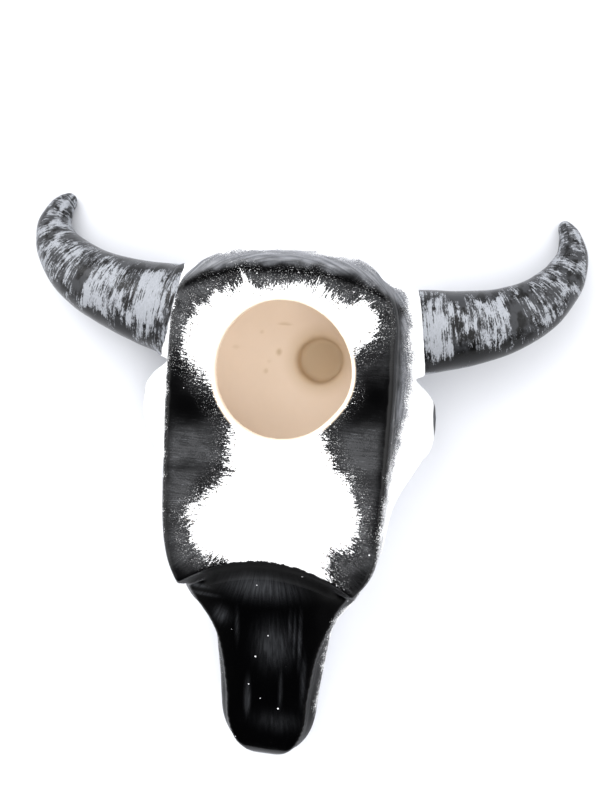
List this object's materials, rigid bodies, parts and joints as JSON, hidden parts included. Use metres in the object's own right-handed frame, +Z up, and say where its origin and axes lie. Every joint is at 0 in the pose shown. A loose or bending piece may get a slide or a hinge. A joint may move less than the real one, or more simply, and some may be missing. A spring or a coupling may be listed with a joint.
{
  "type": "painted ceramic longhorn skull ornament",
  "caption": "Hollow slip-cast longhorn skull ornament, hand painted black and white, lying face down with a pour hole in its flat back.",
  "frame": {"origin": "on the floor, under the middle of the part's bounding box", "axes": "+Z up through the flat back, +Y from the nose to the poll, +X towards the horn at the picture's right"},
  "size_m": [0.2372, 0.2398, 0.0612],
  "materials": {
    "painted_clay": "satin",
    "black_paint": "gloss",
    "dry_brushed_grey": "satin"
  },
  "bodies": {
    "root": {"cranium": "painted_clay", "muzzle": "black_paint", "horn_left": "dry_brushed_grey", "horn_right": "dry_brushed_grey"}
  },
  "joints": []
}
